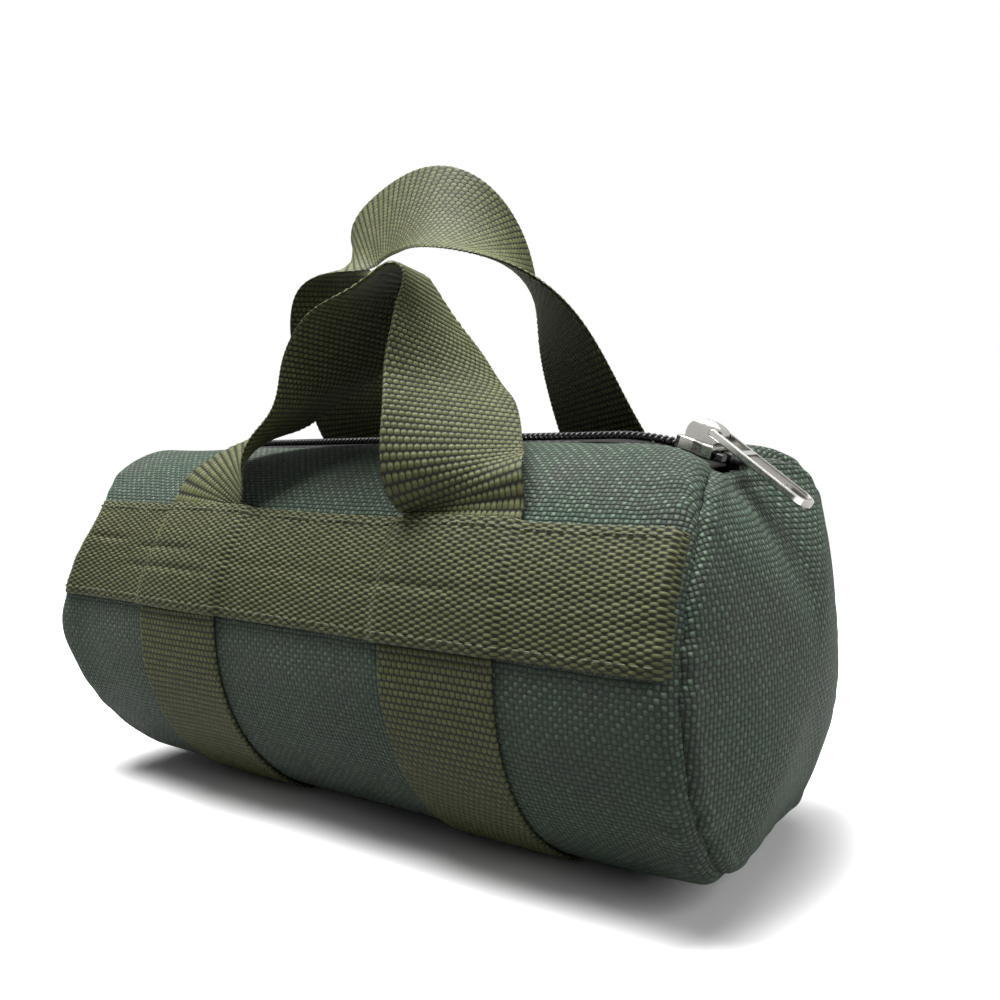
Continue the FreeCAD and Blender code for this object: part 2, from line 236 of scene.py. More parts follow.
def webbingWeaveGroup():
    group, given, place, result = newGroup(
        "WebbingWeave", [("Strap", "Vector"), ("Rows", "Float")], ["Height", "Yarn", "Fibre"])
    along, across, face = place
    row, inRow = cellOf(group, calc(group, "DIVIDE", along, webbing["floatPeriod"] / 2))
    pairs = calc(group, "DIVIDE", across, 2 * webbing["endPitch"])
    pair, inPair = cellOf(group, calc(group, "ADD", pairs, halfShift(group, row, face)))
    pairBow = calc(group, "SQRT", bowed(group, inPair, webbing["crown"]))
    rowHeight = calc(group, "MULTIPLY", bowed(group, inRow, webbing["arch"]), pairBow)  # ribbed rows
    rowYarn = cellRandom(group, pair, row, face)
    end, inEnd = cellOf(group, calc(group, "DIVIDE", across, webbing["endPitch"]))
    periods = calc(group, "DIVIDE", along, webbing["floatPeriod"])
    phase = calc(group, "ADD", periods, halfShift(group, end, face))
    wave = calc(group, "COSINE", calc(group, "MULTIPLY", phase, fullTurn))
    endBow = calc(group, "SQRT", bowed(group, inEnd, webbing["lensCrown"]))
    lensHeight = calc(group, "MULTIPLY", calc(group, "MULTIPLY_ADD", wave, 0.5, 0.5), endBow)  # long floats
    lensYarn = cellRandom(group, end, calc(group, "FLOOR", calc(group, "ADD", phase, 0.5)), face)
    for label, lens, inRows in (("Height", lensHeight, rowHeight), ("Yarn", lensYarn, rowYarn)):
        step = calc(group, "SUBTRACT", inRows, lens)
        group.links.new(calc(group, "MULTIPLY_ADD", given["Rows"], step, lens), result[label])
    fibres = vectorCalc(group, "MULTIPLY", given["Strap"], webbing["fibreStretch"], "Vector")
    group.links.new(noise(group, fibres, 1.0, webbing["fibreDetail"]), result["Fibre"])
    return group


canvas = {
    "thickness": 0.9, "yarnPitch": 1.3, "round": 3.8, "arch": 2.4, "under": 0.5,
    "wander": 1.4, "wanderScale": 0.12, "patchScale": 0.045, "patchDetail": 3.0,  # uneven yarns and dye
    "aroundCells": 230, "alongCells": 168, "panelCells": 110,
}


def canvasWeaveGroup():
    group, given, place, result = newGroup("CanvasWeave", [("Cloth", "Vector")], ["Height", "Yarn", "Patch"])
    drift = calc(group, "MULTIPLY", noise(group, given["Cloth"], canvas["wanderScale"]), canvas["wander"])
    moved = [calc(group, "ADD", place[index], drift) for index in (0, 1)]
    turns = [calc(group, "DIVIDE", part, canvas["yarnPitch"]) for part in moved]
    (warp, inWarp), (weft, inWeft) = [cellOf(group, turn) for turn in turns]
    warpOver = calc(group, "FLOORED_MODULO", calc(group, "ADD", warp, weft), 2.0)
    squares = [squared(group, part) for part in (inWarp, inWeft)]
    across = calc(group, "MULTIPLY_ADD", warpOver, calc(group, "SUBTRACT", *squares), squares[1])
    along = calc(group, "SUBTRACT", calc(group, "ADD", *squares), across)
    bow = calc(group, "SQRT", calc(group, "MULTIPLY_ADD", across, -canvas["round"], 1.0))
    arch = calc(group, "MULTIPLY_ADD", along, -canvas["arch"], 1.0)
    lower = calc(group, "MULTIPLY_ADD", warpOver, 1 - canvas["under"], canvas["under"])
    group.links.new(calc(group, "MULTIPLY", calc(group, "MULTIPLY", bow, arch), lower), result["Height"])
    group.links.new(cellRandom(group, warp, weft, 0.0), result["Yarn"])
    patch = noise(group, given["Cloth"], canvas["patchScale"], canvas["patchDetail"])
    group.links.new(patch, result["Patch"])
    return group


def newMaterial(name, **constants):
    material = bpy.data.materials.new(name)
    material.use_nodes = True
    shader = material.node_tree.nodes["Principled BSDF"]
    for label, value in constants.items():
        shader.inputs[label].default_value = value
    return material, material.node_tree, shader


def clothInput(tree, group):  # a weave group, fed by the piece's own cloth attribute
    place = tree.nodes.new("ShaderNodeAttribute")
    place.attribute_name = "cloth"
    weave = tree.nodes.new("ShaderNodeGroup")
    weave.node_tree = group
    tree.links.new(place.outputs["Vector"], weave.inputs[0])
    return weave


def bumped(tree, shader, height, look):
    bump = tree.nodes.new("ShaderNodeBump")
    bump.inputs["Strength"].default_value = look["bumpStrength"]
    bump.inputs["Distance"].default_value = look["bump"] * mm
    tree.links.new(height, bump.inputs["Height"])
    tree.links.new(bump.outputs[0], shader.inputs["Normal"])


webbingWeave = webbingWeaveGroup()
canvasWeave = canvasWeaveGroup()

webbingLook = {  # straps and handles: rows of short floats
    # the hollow colour is painted shade: near black, taken by the low parts of the weave, standing in for
    # shade between the floats
    "rows": 1.0, "hollowShadeLow": 0.25, "hollowShadeHigh": 0.85, "hollowShade": (0.003, 0.003, 0.0015, 1),
    "yarn": (0.062, 0.069, 0.026, 1), "yarnPale": (0.134, 0.144, 0.065, 1),
    "bump": 0.25, "bumpStrength": 0.6, "fibreBump": 0.25,
    "shader": {
        "Roughness": 0.62, "Specular IOR Level": 0.15,
        "Sheen Weight": 0.03, "Sheen Tint": (0.8, 0.85, 0.5, 1)},
}
bandLook = dict(  # side bands: longer floats
    # these hollow limits set where the painted shade between the floats falls
    webbingLook, rows=0.0, hollowShadeLow=0.12, hollowShadeHigh=0.72,
    yarn=(0.064, 0.070, 0.027, 1), yarnPale=(0.138, 0.147, 0.066, 1))


def webbingMaterial(name, look):
    material, tree, shader = newMaterial(name, **look["shader"])
    weaveNode = clothInput(tree, webbingWeave)
    weaveNode.inputs["Rows"].default_value = look["rows"]
    weave = weaveNode.outputs
    yarn = mixed(tree, calc(tree, "MULTIPLY", weave["Yarn"], weave["Fibre"]), look["yarn"], look["yarnPale"])
    # painted shade: where the weave is low, the colour goes to the near-black hollow colour, as shade between
    # the floats
    raised = spanned(tree, weave["Height"], look["hollowShadeLow"], look["hollowShadeHigh"])
    wire(tree, shader.inputs["Base Color"], mixed(tree, raised, look["hollowShade"], yarn))
    bumped(tree, shader, calc(tree, "MULTIPLY_ADD", weave["Fibre"], look["fibreBump"], weave["Height"]), look)
    return material


canvasLook = {
    "green": (0.034, 0.068, 0.040, 1), "grey": (0.054, 0.062, 0.050, 1), "pale": (0.085, 0.128, 0.085, 1),
    # the gap colour is painted shade: near black, taken by the low parts of the weave, standing in for shade
    # between the yarns
    "gap": (0.004, 0.006, 0.0045, 1), "gapShadeLow": 0.15, "gapShadeHigh": 0.9,
    "patchLow": 0.35, "patchHigh": 0.65, "palePower": 1.6, "bump": 0.9, "bumpStrength": 0.9,
    "shader": {
        "Roughness": 0.75, "Specular IOR Level": 0.2,
        "Sheen Weight": 0.04, "Sheen Tint": (0.7, 0.9, 0.72, 1)},
}


def canvasMaterial():
    material, tree, shader = newMaterial("greenCanvas", **canvasLook["shader"])
    weave = clothInput(tree, canvasWeave).outputs
    patch = spanned(tree, weave["Patch"], canvasLook["patchLow"], canvasLook["patchHigh"])
    ground = mixed(tree, patch, canvasLook["green"], canvasLook["grey"])
    paler = calc(tree, "POWER", weave["Yarn"], canvasLook["palePower"])
    yarn = mixed(tree, paler, ground, canvasLook["pale"])
    # painted shade: where the weave is low, the colour goes to the near-black gap colour, as shade between
    # the yarns
    raised = spanned(tree, weave["Height"], canvasLook["gapShadeLow"], canvasLook["gapShadeHigh"])
    wire(tree, shader.inputs["Base Color"], mixed(tree, raised, canvasLook["gap"], yarn))
    bumped(tree, shader, weave["Height"], canvasLook)
    return material


tapeLook = {
    "bump": 0.2, "bumpStrength": 0.6,
    "shader": {"Base Color": (0.006, 0.006, 0.006, 1), "Roughness": 0.8, "Specular IOR Level": 0.15},
}


def tapeMaterial():
    material, tree, shader = newMaterial("blackZipperTape", **tapeLook["shader"])
    bumped(tree, shader, clothInput(tree, canvasWeave).outputs["Height"], tapeLook)
    return material


metalLook = {
    "polish": 0.16, "grain": 0.10, "grainScale": 900, "grainDetail": 4, "grainLow": 0.3, "grainHigh": 0.7,
}


def grained(tree, where, roughness):
    grain = noise(tree, where, metalLook["grainScale"], metalLook["grainDetail"])
    dullest = roughness + metalLook["grain"]
    return spanned(tree, grain, metalLook["grainLow"], metalLook["grainHigh"], roughness, dullest)


def metalMaterial(name, colour, roughness):
    plain = {"Base Color": colour, "Metallic": 1.0, "Roughness": roughness}
    material, tree, shader = newMaterial(name, **plain)
    wire(tree, shader.inputs["Roughness"], grained(tree, objectPlace(tree), roughness))
    return material


pullLook = {
    # the field colour is painted shade: darker for the sunk field inside the rim, standing in for shade in
    # the recess
    "rim": (0.50, 0.49, 0.46, 1), "field": (0.20, 0.195, 0.18, 1), "fieldRoughness": 0.42,
    "origin": (95.34, 0.0, 107.885), "slope": 37.0,  # the hinge, and how steeply the pull hangs
    "fieldStart": 10.05, "fieldHalf": 3.0, "fieldTop": 0.7,
}


def pullMaterial():
    material, tree, shader = newMaterial("pullNickel", **{"Metallic": 1.0})
    where = objectPlace(tree)
    slope = math.radians(pullLook["slope"])
    parts = []
    for axis in ((math.cos(slope), 0, -math.sin(slope)), (0, 1, 0), (math.sin(slope), 0, math.cos(slope))):
        offset = sum(a * b for a, b in zip(axis, pullLook["origin"])) * mm
        parts.append(calc(tree, "SUBTRACT", vectorCalc(tree, "DOT_PRODUCT", where, axis, "Value"), offset))
    along, across, high = parts
    inside = calc(tree, "GREATER_THAN", along, pullLook["fieldStart"] * mm)  # the sunk field within the rim, painted darker as shade in the recess
    for value, limit in ((across, pullLook["fieldHalf"]), (high, pullLook["fieldTop"])):
        within = calc(tree, "LESS_THAN", calc(tree, "ABSOLUTE", value), limit * mm)
        inside = calc(tree, "MULTIPLY", inside, within)
    # painted shade: the sunk field takes the darker field colour as shade in the recess; its roughness is
    # duller too
    wire(tree, shader.inputs["Base Color"], mixed(tree, inside, pullLook["rim"], pullLook["field"]))
    grain = grained(tree, where, metalLook["polish"])
    duller = pullLook["fieldRoughness"] - metalLook["polish"]
    wire(tree, shader.inputs["Roughness"], calc(tree, "MULTIPLY_ADD", inside, duller, grain))
    return material


canvasCloth = canvasMaterial()
pullMetal = pullMaterial()
oliveWebbing = webbingMaterial("oliveWebbing", webbingLook)
bandWebbing = webbingMaterial("oliveBandWebbing", bandLook)
blackTape = tapeMaterial()
nylonLook = {"Base Color": (0.010, 0.010, 0.010, 1), "Roughness": 0.35, "Specular IOR Level": 0.35}
blackNylon = newMaterial("blackNylon", **nylonLook)[0]
threadOlive = newMaterial("oliveThread", **{"Base Color": (0.055, 0.060, 0.030, 1), "Roughness": 0.7})[0]
threadDark = newMaterial("darkThread", **{"Base Color": (0.03, 0.036, 0.03, 1), "Roughness": 0.6})[0]
sliderMetal = metalMaterial("brightNickel", (0.42, 0.41, 0.38, 1), metalLook["polish"])
stopMetal = metalMaterial("stopMetal", (0.06, 0.06, 0.06, 1), 0.35)
springSteel = metalMaterial("springSteel", (0.45, 0.45, 0.46, 1), 0.25)
print("stage: materials made")

bodyLow, bodyHigh = boxOf("body_panel")
radius, axisZ, floorZ = bodyHigh[1], bodyHigh[2] - bodyHigh[1], bodyLow[2]
bagEnd = boxOf("right_end_panel")[1][0]
bag = {
    "seamRoll": 4.2, "seamTurn": 1.4, "allowance": 3.0, "seamX": 111.2,  # the sewn ends of the tube
    "seamLean": {rightSide: 12.0, leftSide: 1.0}, "leanSpread": 0.6,  # how far a seam's top leans in
    "lowLean": 6.5, "lowTurn": 3.5, "lowSpread": 0.7, "rearLean": 9.0, "rearTurn": 4.8, "rearSpread": 0.9,
    "leftSeam": [  # step, turn, spread
        (5.5, 0.52, 0.24), (-5.5, 1.0, 0.25), (3.5, 1.66, 0.17), (-11.0, 2.6, 0.5)],
    "rearTop": 0.65, "rearLeanTurn": (5.6, 6.0), "rearDropTurn": (5.8, 6.15),  # the rear of the top sags less
    "shoulderX": {rightSide: 75.5, leftSide: 107.0}, "shoulderRadius": {rightSide: 44.0, leftSide: 16.0},
    "topBlend": 4.0, "topTurn": 1.4, "bellyBlend": 3.0, "bellyTurn": 1.7, "baseBlend": 1.2,
    "bellyX": {rightSide: 72.0, leftSide: 25.0}, "bellyLift": {rightSide: 8.5, leftSide: 6.0},
    "mouthHalf": 5.5, "mouthWiden": {rightSide: 2.3, leftSide: 0.5},
    "mouthFrom": 70, "mouthTo": 94, "mouthReach": 108,
    "lipRoll": 1.2, "lipDrop": 2.0, "lipCells": 6,  # the hem that is turned under along the zipper
    "mouthDip": 0.9, "endDip": 1.8, "endDipFrom": 55, "endDipTo": 85, "dipSpread": 7.0,
    "slack": 0.9, "slackWaves": (21, 12.5, 6.2), "slackFromSeam": 12,
    "pucker": {rightSide: 0.35, leftSide: 0.15}, "puckerPitch": 2.3, "puckerReach": 6,
}
endPanel = {
    "inset": 3.4, "roll": 3.4, "dome": 2.0, "lap": 0.6, "puckerShare": 0.5, "puckerReach": 5,
    "ripple": 0.35, "rippleFrom": 4, "rippleTo": 14,
}


def sectionRadius(phi):  # a round section, pressed flat where it lies on the floor
    fromBottom = np.abs(math.pi - phi)
    pressed = (axisZ - floorZ) / np.maximum(np.cos(np.minimum(fromBottom, 1.3)), 0.2)
    return softMin(np.full_like(phi, radius), pressed, bag["baseBlend"])


def bySide(t, values):
    return np.where(t < 0, values[leftSide], values[rightSide])


def topTurnOf(phi):
    return np.minimum(phi, fullTurn - phi)


def facingTurn(phi, facing):
    return phi if facing == frontSide else fullTurn - phi


def lessAtRear(phi, turns):
    return 1 - bag["rearTop"] * ease(-phi, -turns[1], -turns[0]) * (phi > math.pi)


def hump(value, height, middle, spread):  # a smooth swell round one place
    return height * np.exp(-((value - middle) / spread) ** 2)


def seamX(phi, t):
    low = hump(phi, bag["lowLean"], bag["lowTurn"], bag["lowSpread"])
    rear = hump(phi, bag["rearLean"], bag["rearTurn"], bag["rearSpread"])
    lean = bySide(t, bag["seamLean"]) * lessAtRear(phi, bag["rearLeanTurn"])
    uneven = sum(hump(phi, *step) for step in bag["leftSeam"])
    return bag["seamX"] - hump(topTurnOf(phi), lean, 0, bag["leanSpread"]) - low - rear + uneven * (t < 0)


def topLimit(x, phi):  # the top falls away towards the end seams
    rounding = bySide(x, bag["shoulderRadius"])
    past = np.clip(np.abs(x) - bySide(x, bag["shoulderX"]), 0, rounding - 0.5)
    drop = rounding - np.sqrt(rounding ** 2 - past ** 2)
    return axisZ + radius - drop * lessAtRear(phi, bag["rearDropTurn"])


def bellyLimit(x):  # the belly lifts off the floor towards the ends
    start = bySide(x, bag["bellyX"])
    share = np.clip((np.abs(x) - start) / (bag["seamX"] - start), 0, 1.1)
    return floorZ + bySide(x, bag["bellyLift"]) * share ** 2


def slack(phi, x):  # slow waves of loose cloth, none where it lies on the floor
    longWave, middleWave, shortWave = bag["slackWaves"]
    loose = np.sin(x / longWave + 1.2 * np.sin(2 * phi + 0.4)) * np.sin(3 * phi + 0.7)
    loose += 0.6 * np.sin(x / middleWave + 4 * phi)
    loose += 0.35 * np.sin(x / shortWave - 5 * phi + 1.1) * np.cos(2 * phi)
    return bag["slack"] * (loose - 1) * 0.5 * ease(np.abs(math.pi - phi), 0.35, 0.8)


def mouthHalf(x):
    return bag["mouthHalf"] + bySide(x, bag["mouthWiden"]) * ease(np.abs(x), bag["mouthFrom"], bag["mouthTo"])


def skin(phi, t, lift):  # the point at a turn round the bag and a run along it, raised off the cloth by lift
    roll = bag["seamRoll"]
    seam = seamX(phi, t)
    over = (np.abs(t) - seam + roll) / roll  # past 0 the cloth turns in to the seam
    turn = np.clip(over, 0, bag["seamTurn"])
    inward = np.maximum(over - bag["seamTurn"], 0) * roll
    x = np.where(over > 0, seam - roll + (roll + lift) * np.sin(turn), np.abs(t))
    out = (roll + lift) * np.cos(turn) - roll - inward
    fromSeam = np.maximum(-over, 0) * roll
    pucker = bySide(t, bag["pucker"]) * np.exp(-fromSeam / bag["puckerReach"])
    pucker *= np.sin(phi * radius / bag["puckerPitch"] + 2 * np.sin(phi * 9))
    r = sectionRadius(phi) + slack(phi, t) * ease(fromSeam, 0, bag["slackFromSeam"]) + pucker * (over < 0.7)
    topTurn = topTurnOf(phi)
    fromMouth = np.maximum(topTurn * radius - mouthHalf(t), 0)
    dip = bag["mouthDip"] + bag["endDip"] * ease(np.abs(t), bag["endDipFrom"], bag["endDipTo"])
    dip = hump(fromMouth, dip, 0, bag["dipSpread"])
    rise = np.minimum(out, lift)
    z = axisZ + (r + rise) * np.cos(phi)
    z = np.where(topTurn < bag["topTurn"], softMin(z, topLimit(t, phi) + rise, bag["topBlend"]), z) - dip
    lifted = -softMin(-z, -bellyLimit(t) + rise, bag["bellyBlend"])
    z = np.where(topTurn > bag["bellyTurn"], lifted, z)
    return np.stack([np.sign(t) * x, -(r + out) * np.sin(phi), z], axis=-1)


def bodyShape(a, b):
    lip, lipCells, count = bag["lipRoll"], bag["lipCells"], canvas["aroundCells"]
    column = np.rint(a * count)
    edge = np.minimum(column, count - column)  # columns from the nearer edge of the mouth
    rolled = np.clip(edge - 1, 0, lipCells) / lipCells * math.pi / 2
    fromEdge = lip * (1 - np.cos(rolled))
    sink = lip * (1 - np.sin(rolled)) + np.where(edge < 1, bag["lipDrop"], 0)
    half = mouthHalf((2 * b - 1) * bag["mouthReach"])
    full = fullTurn * radius - 2 * half - 2 * lip
    firstCell = lipCells + 1
    inside = np.clip((edge - firstCell) / (count / 2 - firstCell), 0, 1) * full / 2
    phi = (half + fromEdge + inside) / radius
    phi = np.where(column > count / 2, fullTurn - phi, phi)
    reach = seamX(phi, b - 0.5) + bag["seamRoll"] * (bag["seamTurn"] - 1) + bag["allowance"]
    t = (2 * b - 1) * reach
    points = skin(phi, t, np.zeros_like(t))
    points[:, 2] -= sink
    return points, clothPlace(phi * radius, t)


def panelShape(side):
    def shape(a, b):
        p, q = (2 * a - 1) * side, 2 * b - 1
        p, q = p * np.sqrt(1 - q * q / 2), q * np.sqrt(1 - p * p / 2)  # the square grid made round
        rho, phi = np.hypot(p, q), np.mod(np.arctan2(-p, q), fullTurn)
        seam = seamX(phi, np.full_like(phi, side))
        rim = skin(phi, side * (seam - bag["seamRoll"]), np.zeros_like(phi))
        rim[:, 1:] -= unit(rim[:, 1:] - [0, axisZ]) * endPanel["inset"]
        size = np.hypot(rim[:, 1], rim[:, 2] - axisZ)
        fromRim = (1 - rho) * size
        roll, lap = endPanel["roll"], endPanel["lap"]
        rolled = np.sqrt(np.maximum(roll ** 2 - (roll - np.minimum(fromRim, roll)) ** 2, 0))
        crown = 1 - np.clip((size - fromRim) / (size - roll), 0, 1) ** endPanel["dome"]
        x = seam - lap + rolled + (bagEnd - seam + lap - roll) * crown
        pucker = endPanel["puckerShare"] * bag["pucker"][side] * np.exp(-fromRim / endPanel["puckerReach"])
        x += pucker * np.sin(phi * radius / bag["puckerPitch"] + 1.3) * ease(fromRim, 0, 2)
        ripple = endPanel["ripple"] * np.sin(p * 6 + 1) * np.sin(q * 5)
        x += ripple * ease(fromRim, endPanel["rippleFrom"], endPanel["rippleTo"])
        points = np.stack([side * x, rim[:, 1] * rho, axisZ + (rim[:, 2] - axisZ) * rho], axis=-1)
        bend = np.arccos(1 - np.minimum(fromRim, roll) / roll)
        onCloth = size - np.maximum(fromRim, roll) + roll * (math.pi / 2 - bend)  # along the rolled rim
        spread = onCloth / np.maximum(size - fromRim, 1e-6)
        return points, clothPlace(points[:, 1] * spread, (points[:, 2] - axisZ) * spread)
    return shape


bodyPanel = shapedGrid("bodyPanelCanvas", canvas["aroundCells"], canvas["alongCells"], bodyShape, canvasCloth)
thicken(bodyPanel, canvas["thickness"])
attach(bodyPanel, "bag"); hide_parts("body_panel")
for side, label in bagEnds:
    cells = canvas["panelCells"]
    panel = shapedGrid(label + "EndCanvas", cells, cells, panelShape(side), canvasCloth)
    thicken(panel, canvas["thickness"])
    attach(panel, "bag"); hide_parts(label + "_end_panel")
print("stage: canvas made")

binding = {"lift": -2.2, "width": 13.0, "inset": 4.5, "gap": 0.2, "thickness": 0.6, "cells": (180, 8)}


def bindingShape(side):  # runs inside the seam, open at the mouth
    def shape(a, b):
        phi = binding["gap"] + a * (fullTurn - 2 * binding["gap"])
        t = side * (seamX(phi, np.full_like(phi, side)) - binding["inset"] - b * binding["width"])
        return skin(phi, t, np.full_like(t, binding["lift"])), clothPlace(phi * radius, t)
    return shape


for side, label in bagEnds:
    tape = shapedGrid(label + "SeamTape", *binding["cells"], bindingShape(side), blackTape)
    thicken(tape, binding["thickness"])
    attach(tape, "bag"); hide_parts(label + "_seam_binding")


def rowRise(along, across, face):  # the relief that goes with the row weave
    rows = 2 * along / webbing["floatPeriod"]
    pairs = across / (2 * webbing["endPitch"]) + 0.5 * (np.mod(np.floor(rows), 2) + face)
    inRow, inPair = np.mod(rows, 1) - 0.5, np.mod(pairs, 1) - 0.5
    return (1 - 4 * webbing["arch"] * inRow ** 2) * np.sqrt(1 - 4 * webbing["crown"] * inPair ** 2)


def lensRise(along, across, face):  # and with the long floats
    end = np.floor(across / webbing["endPitch"])
    inEnd = across / webbing["endPitch"] - end - 0.5
    phase = along / webbing["floatPeriod"] + 0.5 * (np.mod(end, 2) + face)
    return (0.5 + 0.5 * np.cos(fullTurn * phase)) * np.sqrt(1 - 4 * webbing["lensCrown"] * inEnd ** 2)


def webbingPiece(name, length, place, bothFaces, weaveRise=rowRise, material=oliveWebbing):
    width, thick, relief = webbing["width"], webbing["thickness"], webbing["relief"]
    outer = np.linspace(0, width, int(round(2 * width / webbing["endPitch"])) + 1)
    inner = outer[::-1] if bothFaces else np.linspace(width, 0, webbing["plainCells"])
    across = np.concatenate([outer, inner, outer[:1]])  # once round the strap
    face = np.concatenate([np.zeros(len(outer)), np.ones(len(inner)), [0]])
    rows = int(round(length / webbing["rowStep"]))

    def shape(a, b):
        column = np.rint(a * (len(across) - 1)).astype(int)
        w, side, s = across[column], face[column], b * length
        inset = np.minimum(w, width - w)
        rise = weaveRise(s, w, side) * relief * ease(inset, 0, webbing["selvedge"])
        twist = 0.5 + 0.5 * np.cos(fullTurn * (s / webbing["cordPitch"] + inset * webbing["cordSlant"]))
        cord = webbing["cordRelief"] * twist * (1 - ease(inset, webbing["edgeReach"], webbing["selvedge"]))
        rim = webbing["edgeRound"] * thick * (1 - ease(inset, 0, webbing["edgeReach"])) - cord
        up = thick - relief + rise - rim
        down = (relief - rise if bothFaces else 0 * rise) + rim
        return place(s, w - width / 2, np.where(side > 0, down, up)), np.stack([s, w, side], axis=-1)

    return shapedGrid(name, len(across) - 1, rows, shape, material, closed=True)


strap = {"spacing": 98.0, "top": math.radians(90 - 41.5), "lift": 0.05}


def strapPlace(x0):
    def place(s, w, h):
        return skin(strap["top"] + s / radius, x0 + w, strap["lift"] + h)
    return place


strapLength = (fullTurn - 2 * strap["top"]) * radius
for side, label in bagEnds:
    belly = webbingPiece(label + "BellyWebbing", strapLength, strapPlace(side * strap["spacing"] / 2), False)
    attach(belly, "bag"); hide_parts(label + "_belly_strap")

band = {
    "low": math.radians(90 - 5.6), "high": math.radians(90 - 38.7), "lift": 0.3,
    "leftRise": 2.0, "riseFrom": -60, "riseTo": 110, "pastSeam": 0.5,
    "overStrap": 1.55, "spreadFrom": -0.5, "spread": 4.0,  # it climbs over the straps
    "creases": [(-62, 16, 1.5, 0.9), (-58, 22, -5.0, 0.75), (-96, 10, 3.5, 0.7), (40, 14, -2.0, 0.45)],
    "creaseHalf": 1.1, "midDepth": 0.2, "midPlace": -1.5, "midHalf": 1.6, "midWave": 30, "ripple": 0.175,
    "reach": {rightSide: -0.2, leftSide: -1.6}, "endSink": 1.5, "endLength": 4,
}


def bandPlace(facing, length):
    middle = (band["low"] + band["high"]) / 2

    def place(s, w, h):
        t = s - length / 2
        phi = middle - w * (band["low"] - band["high"]) / webbing["width"]
        fromStrap = np.abs(np.abs(t) - strap["spacing"] / 2) - webbing["width"] / 2
        raised = band["overStrap"] * (1 - ease(fromStrap, band["spreadFrom"], band["spread"]))
        phi = phi - band["leftRise"] / radius * ease(-t, band["riseFrom"], band["riseTo"])
        crease = hump(w + np.sin(t / band["midWave"]), band["midDepth"], band["midPlace"], band["midHalf"])
        for middleT, halfT, middleW, depth in band["creases"]:
            run = np.exp(-((t - middleT) / halfT) ** 4)
            crease = crease + hump(w, depth, middleW, band["creaseHalf"]) * run
        ripple = band["ripple"] * np.sin(t / 9 + 0.8 * np.sin(t / 17)) * np.sin((w + 18) / 36 * math.pi)
        phi = facingTurn(phi, facing)
        reach = seamX(phi, t) + bySide(t, band["reach"])
        sink = band["endSink"] * ease(np.abs(t), length / 2 - band["endLength"], length / 2)
        return skin(phi, t / length * 2 * reach, band["lift"] + raised + ripple - crease - sink + h)
    return place


bandLength = 2 * (bag["seamX"] + band["pastSeam"])
for facing, label in bagFaces:
    sideBand = webbingPiece(
        label + "BandWebbing", bandLength, bandPlace(facing, bandLength), False, lensRise, bandWebbing)
    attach(sideBand, "bag"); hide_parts(label + "_side_band")
print("stage: straps and bands made")

stitch = {
    "pitch": 3.0, "half": 1.05, "thread": 0.24, "lift": 0.1, "inset": 2.7, "fromLip": 4.2, "lipReach": 92.0,
}


def stitchRows(name, rows, material):
    bm = bmesh.new()
    for place, middles in rows:
        steps = (-stitch["half"], 0, stitch["half"])
        first, middle, last = [place(middles + step, stitch["lift"]) for step in steps]
        along = (last - first) / 2
        up = unit(middle - place(middles, -1.0))
        side = unit(np.cross(up, along)) * stitch["thread"]
        for columns in zip(side, up * stitch["thread"], along, middle):
            turned = Matrix.Identity(4)
            for index, column in enumerate(columns):
                turned.col[index][:3] = column * mm
            bmesh.ops.create_uvsphere(bm, u_segments=6, v_segments=4, radius=1, matrix=turned)
    seam = finishMesh(name, bm, material)
    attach(seam, "bag")


def bandRow(facing, across):
    place = bandPlace(facing, bandLength)

    def row(s, lift):
        return place(s, np.full_like(s, across), np.full_like(s, webbing["thickness"] + lift))
    return row


def lipRow(facing):
    def row(t, lift):
        phi = (mouthHalf(t) + bag["lipRoll"] + stitch["fromLip"]) / radius
        return skin(facingTurn(phi, facing), t, np.full_like(t, lift))
    return row


for facing, label in bagFaces:
    bandSpots = np.arange(stitch["pitch"], bandLength - stitch["pitch"], stitch["pitch"])
    lipSpots = np.arange(-stitch["lipReach"], stitch["lipReach"], stitch["pitch"])
    edge = webbing["width"] / 2 - stitch["inset"]
    bandRows = [(bandRow(facing, across), bandSpots) for across in (-edge, edge)]
    stitchRows(label + "BandStitches", bandRows, threadOlive)
    stitchRows(label + "LipStitches", [(lipRow(facing), lipSpots)], threadDark)
print("stage: stitches made")

